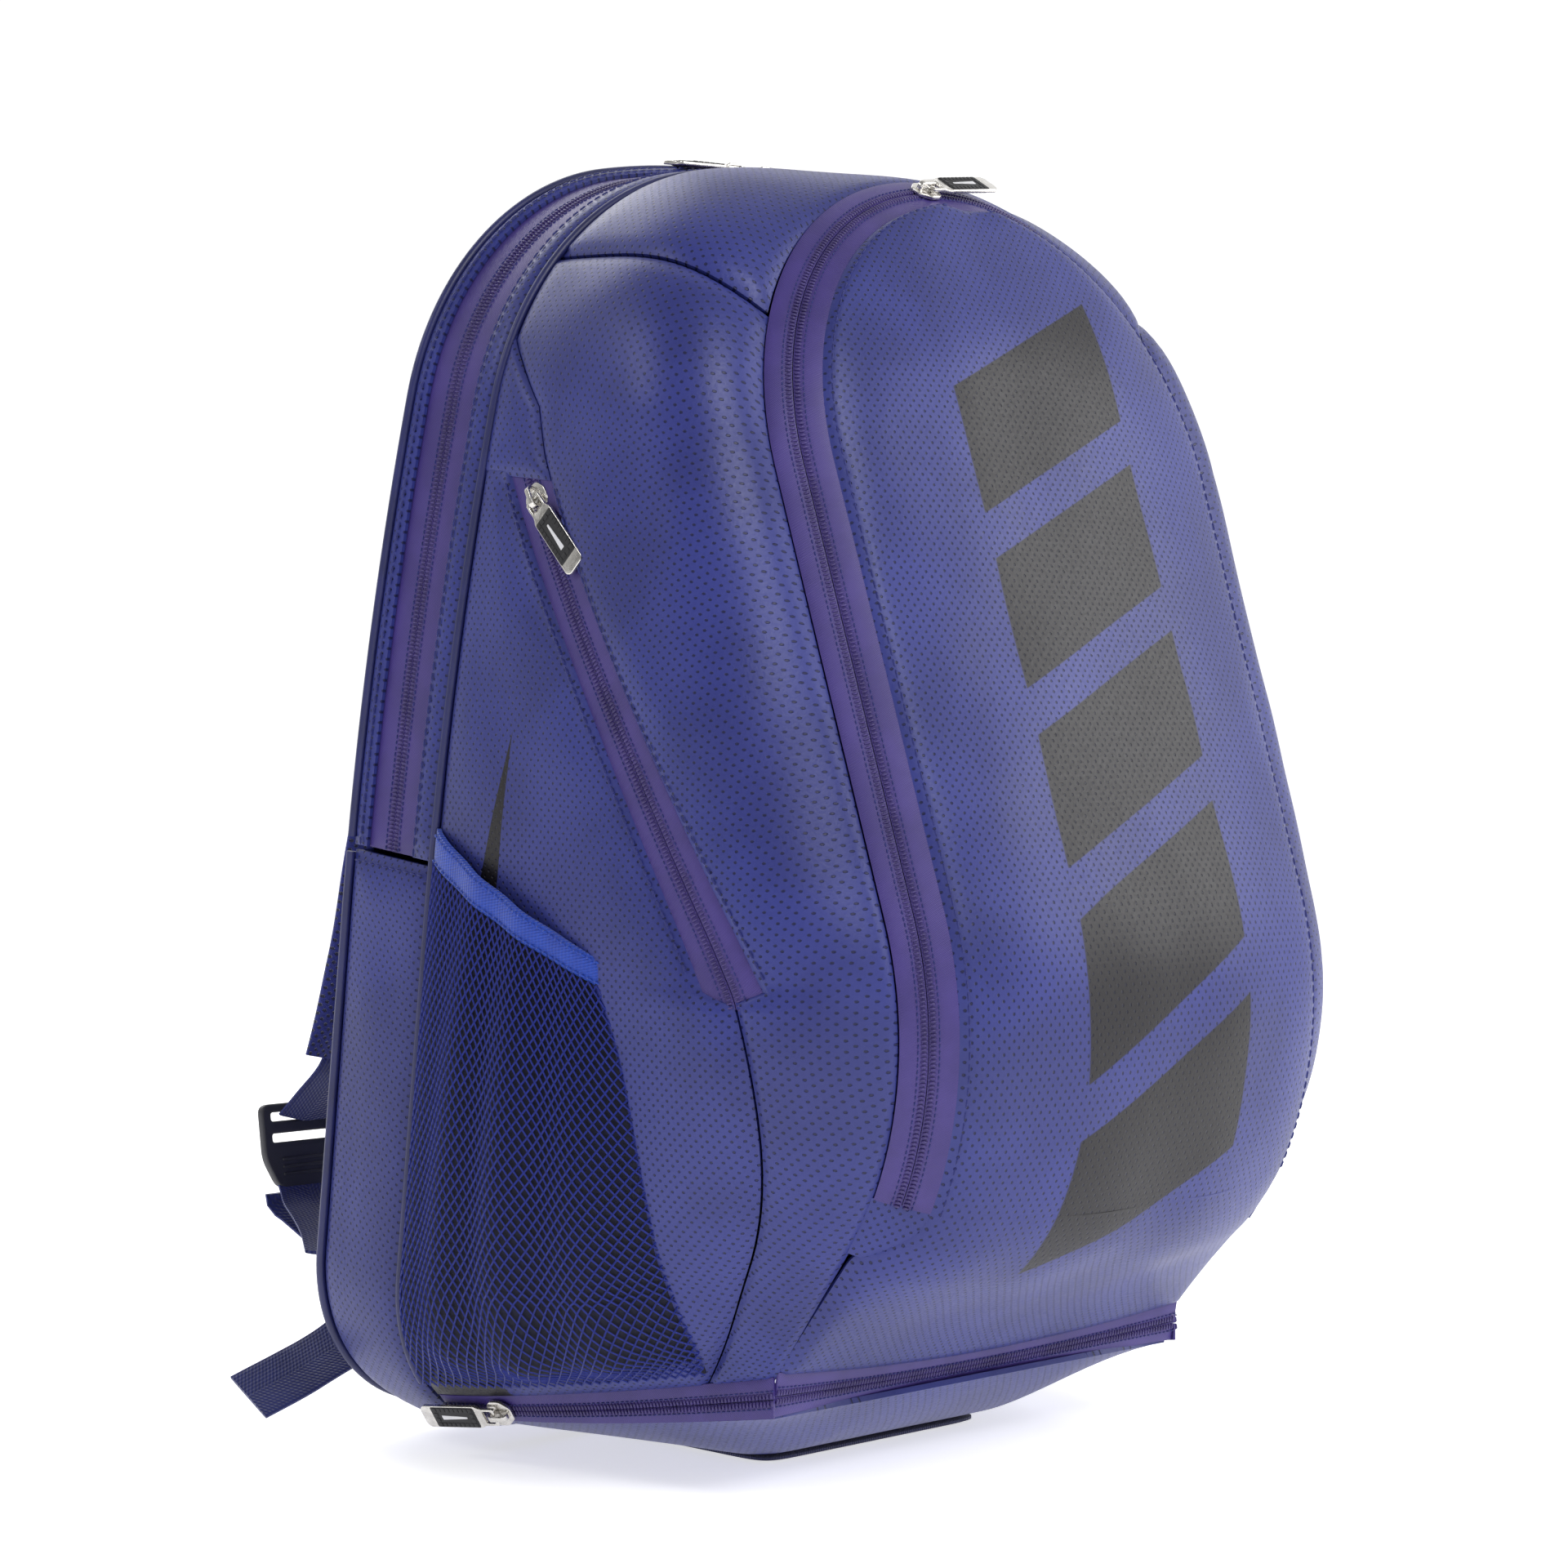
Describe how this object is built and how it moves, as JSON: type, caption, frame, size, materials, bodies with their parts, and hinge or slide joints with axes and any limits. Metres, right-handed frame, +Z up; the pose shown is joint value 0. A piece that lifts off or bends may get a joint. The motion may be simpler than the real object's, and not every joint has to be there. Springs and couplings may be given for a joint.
{
  "type": "racket backpack",
  "caption": "Tall soft backpack for rackets and kit, with an opening back panel, arched front pocket, side pockets, bottle pockets and an opening base.",
  "frame": {"origin": "on the floor under the middle of the base", "axes": "+Z up, -Y towards the front pocket, +Y towards the wearer's back, +X completes the right-handed frame"},
  "size_m": [0.3648, 0.3641, 0.501],
  "materials": {
    "leather": "satin, perforated",
    "zip_tape": "woven",
    "mesh": "knitted net",
    "elastic": "woven",
    "webbing": "woven",
    "air_mesh": "spacer mesh",
    "lining": "plain weave",
    "board": "matte",
    "base_cloth": "plain weave",
    "metal": "nickel plated",
    "rubber": "fine grid",
    "plastic": "matte"
  },
  "bodies": {
    "main_body": {"gusset_strip_front": "leather", "main_zip_front_tape": "zip_tape", "lower_gusset": "leather", "back_panel_lower": "lining", "back_pad_lower": "air_mesh", "laptop_sleeve": "lining", "piping": "leather", "top_panel": "leather", "side_panel_left": "leather", "mid_panel_left": "leather", "side_zip_left": "zip_tape", "side_panel_right": "leather", "mid_panel_right": "leather", "side_zip_right": "zip_tape", "mesh_pocket_left": "mesh", "mesh_pocket_right": "mesh", "pocket_elastics": "elastic", "front_zip_outer_tape": "zip_tape", "lower_front_panel": "leather", "pocket_divider": "lining", "bottom_zip_upper_tape": "zip_tape", "strap_lower_left": "air_mesh", "webbing_left": "webbing", "strap_lower_right": "air_mesh", "webbing_right": "webbing"},
    "back_flap": {"gusset_strip_rear": "leather", "main_zip_rear_tape": "zip_tape", "back_panel_upper": "lining", "back_board": "board", "back_pad_upper_left": "air_mesh", "back_pad_upper_right": "air_mesh", "strap_upper_left": "air_mesh", "strap_upper_right": "air_mesh"},
    "front_flap": {"flap_panel": "leather", "front_zip_inner_tape": "zip_tape"},
    "base_flap": {"base_panel": "leather", "base_board": "board", "wear_patch": "base_cloth", "bottom_zip_lower_tape": "zip_tape"},
    "haul_handle": {"haul_handle": "webbing"},
    "ladder_lock_left": {"ladder_lock_left": "plastic"},
    "ladder_lock_right": {"ladder_lock_right": "plastic"},
    "main_left_slider": {"main_left_slider": "metal"},
    "main_left_pull": {"main_left_pull_frame": "metal", "main_left_pull_insert": "rubber"},
    "main_right_slider": {"main_right_slider": "metal"},
    "main_right_pull": {"main_right_pull_frame": "metal", "main_right_pull_insert": "rubber"},
    "front_slider": {"front_slider": "metal"},
    "front_pull": {"front_pull_frame": "metal", "front_pull_insert": "rubber"},
    "side_left_slider": {"side_left_slider": "metal"},
    "side_left_pull": {"side_left_pull_frame": "metal", "side_left_pull_insert": "rubber"},
    "side_right_slider": {"side_right_slider": "metal"},
    "side_right_pull": {"side_right_pull_frame": "metal", "side_right_pull_insert": "rubber"},
    "bottom_slider": {"bottom_slider": "metal"},
    "bottom_pull": {"bottom_pull_frame": "metal", "bottom_pull_insert": "rubber"}
  },
  "joints": [
    {"name": "back_flap_hinge", "type": "hinge", "parent": "main_body", "child": "back_flap", "pos_m": [0, 0.09084, 0.23239], "axis": [-1, 0, 0], "range_deg": [0, 25]},
    {"name": "front_flap_hinge", "type": "hinge", "parent": "main_body", "child": "front_flap", "pos_m": [0, -0.16147, 0.1059], "axis": [1, 0, 0], "range_deg": [0, 100]},
    {"name": "base_flap_hinge", "type": "hinge", "parent": "main_body", "child": "base_flap", "pos_m": [0, 0.0615, 0.0045], "axis": [1, 0, 0], "range_deg": [0, 60]},
    {"name": "haul_handle_swing", "type": "hinge", "parent": "back_flap", "child": "haul_handle", "pos_m": [0, 0.07409, 0.45904], "axis": [1, 0, 0], "range_deg": [0, 70]},
    {"name": "ladder_lock_left_tilt", "type": "hinge", "parent": "main_body", "child": "ladder_lock_left", "pos_m": [-0.12, 0.177, 0.12], "axis": [-1, 0, 0], "range_deg": [-12, 20]},
    {"name": "ladder_lock_right_tilt", "type": "hinge", "parent": "main_body", "child": "ladder_lock_right", "pos_m": [0.12, 0.177, 0.12], "axis": [-1, 0, 0], "range_deg": [-12, 20]},
    {"name": "main_left_zip_travel", "type": "hinge", "parent": "main_body", "child": "main_left_slider", "pos_m": [0, 0.0753, 0.15795], "axis": [0, 0.9925, 0.1219], "range_deg": [-7, 0]},
    {"name": "main_left_pull_lift", "type": "hinge", "parent": "main_left_slider", "child": "main_left_pull", "pos_m": [-0.01562, 0.03368, 0.49693], "axis": [-0.0871, 0.9892, 0.1178], "range_deg": [0, 110]},
    {"name": "main_right_zip_travel", "type": "hinge", "parent": "main_body", "child": "main_right_slider", "pos_m": [0, 0.0753, 0.15795], "axis": [0, 0.9925, 0.1219], "range_deg": [0, 8.5]},
    {"name": "main_right_pull_lift", "type": "hinge", "parent": "main_right_slider", "child": "main_right_pull", "pos_m": [0.00228, 0.03363, 0.49727], "axis": [0.5299, 0.8424, 0.0978], "range_deg": [0, 110]},
    {"name": "front_zip_travel", "type": "hinge", "parent": "main_body", "child": "front_slider", "pos_m": [0, -0.09518, 0.36963], "axis": [0, -0.9527, 0.304], "range_deg": [-70, 70]},
    {"name": "front_pull_lift", "type": "hinge", "parent": "front_slider", "child": "front_pull", "pos_m": [-0.01206, -0.06906, 0.47989], "axis": [0.0949, -0.8308, -0.5485], "range_deg": [0, 110]},
    {"name": "side_left_zip_travel", "type": "slide", "parent": "main_body", "child": "side_left_slider", "axis": [-0.0823, -0.4935, -0.8658], "range_m": [0, 0.038]},
    {"name": "side_left_pull_lift", "type": "hinge", "parent": "side_left_slider", "child": "side_left_pull", "pos_m": [-0.15597, -0.00853, 0.35876], "axis": [-0.0668, 0.6938, -0.717], "range_deg": [0, 110]},
    {"name": "side_right_zip_travel", "type": "slide", "parent": "main_body", "child": "side_right_slider", "axis": [0.0823, -0.4935, -0.8658], "range_m": [0, 0.038]},
    {"name": "side_right_pull_lift", "type": "hinge", "parent": "side_right_slider", "child": "side_right_pull", "pos_m": [0.15597, -0.00853, 0.35876], "axis": [-0.0668, -0.6938, 0.717], "range_deg": [0, 110]},
    {"name": "bottom_zip_travel", "type": "slide", "parent": "main_body", "child": "bottom_slider", "axis": [0.155, -0.9813, 0.1143], "range_m": [0, 0.03]},
    {"name": "bottom_pull_lift", "type": "hinge", "parent": "bottom_slider", "child": "bottom_pull", "pos_m": [-0.13923, 0.03274, 0.01985], "axis": [-0.5122, 0.0157, 0.8587], "range_deg": [0, 110]}
  ]
}
